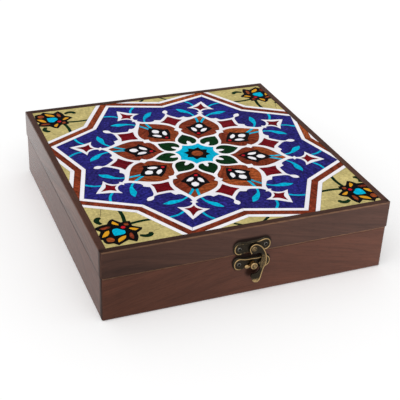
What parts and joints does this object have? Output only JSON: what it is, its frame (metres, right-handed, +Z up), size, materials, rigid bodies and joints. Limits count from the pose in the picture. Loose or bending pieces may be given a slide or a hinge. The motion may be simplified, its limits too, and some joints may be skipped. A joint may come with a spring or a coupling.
{
  "type": "inlaid wooden box",
  "caption": "Shallow walnut box with a hinged lid, a star mosaic in coloured wood set in the lid, and a swing-hook latch in front.",
  "frame": {"origin": "middle of the underside, on the surface that the box stands on", "axes": "+Z up, front with the latch towards -Y, +X to the right seen from the front"},
  "size_m": [0.25, 0.2663, 0.064],
  "materials": {
    "walnut": "satin",
    "walnut_inside": "satin",
    "hinge_metal": "satin",
    "latch_metal": "satin",
    "latch_gold": "satin",
    "tile_blue": "satin",
    "tile_white": "satin",
    "tile_brown": "satin",
    "tile_cream": "satin",
    "tile_black": "satin",
    "tile_green": "satin",
    "tile_red": "satin",
    "tile_cyan": "satin",
    "tile_yellow": "satin"
  },
  "bodies": {
    "base": {"base_back": "walnut", "base_bottom": "walnut_inside", "base_front": "walnut", "base_left": "walnut", "base_right": "walnut", "hinge_left_base_leaf": "hinge_metal", "hinge_left_pin": "hinge_metal", "hinge_right_base_leaf": "hinge_metal", "hinge_right_pin": "hinge_metal", "strike_plate": "latch_metal", "strike_post": "latch_gold", "strike_stud": "latch_gold"},
    "lid": {"flower_brown_petals": "tile_brown", "flower_ground": "tile_black", "flower_hearts": "tile_cyan", "flower_yellow_petals": "tile_yellow", "hinge_left_lid_leaf": "hinge_metal", "hinge_right_lid_leaf": "hinge_metal", "latch_plate": "latch_metal", "latch_rivet": "latch_gold", "lid_back": "walnut", "lid_front": "walnut", "lid_left": "walnut", "lid_panel": "walnut_inside", "lid_right": "walnut", "mosaic_blue_field": "tile_blue", "mosaic_brown_band": "tile_brown", "mosaic_buds": "tile_black", "mosaic_corner_ground": "tile_cream", "mosaic_diamonds": "tile_red", "mosaic_inner_line": "tile_white", "mosaic_lattice": "tile_white", "mosaic_leaves": "tile_green", "mosaic_outer_line": "tile_white", "mosaic_petals": "tile_brown", "mosaic_rose_button": "tile_brown", "mosaic_rose_rim": "tile_cyan", "mosaic_rose_star": "tile_black", "mosaic_star_hearts": "tile_red", "mosaic_vine_leaves": "tile_cyan"},
    "hook": {"latch_hook": "latch_metal"}
  },
  "joints": [
    {"name": "lid_hinge", "type": "hinge", "parent": "base", "child": "lid", "pos_m": [0, 0.1278, 0.0405], "axis": [-1, 0, 0], "range_deg": [0, 100]},
    {"name": "hook_swing", "type": "hinge", "parent": "lid", "child": "hook", "pos_m": [0, -0.1327, 0.045], "axis": [0, -1, 0], "range_deg": [0, 110]}
  ]
}
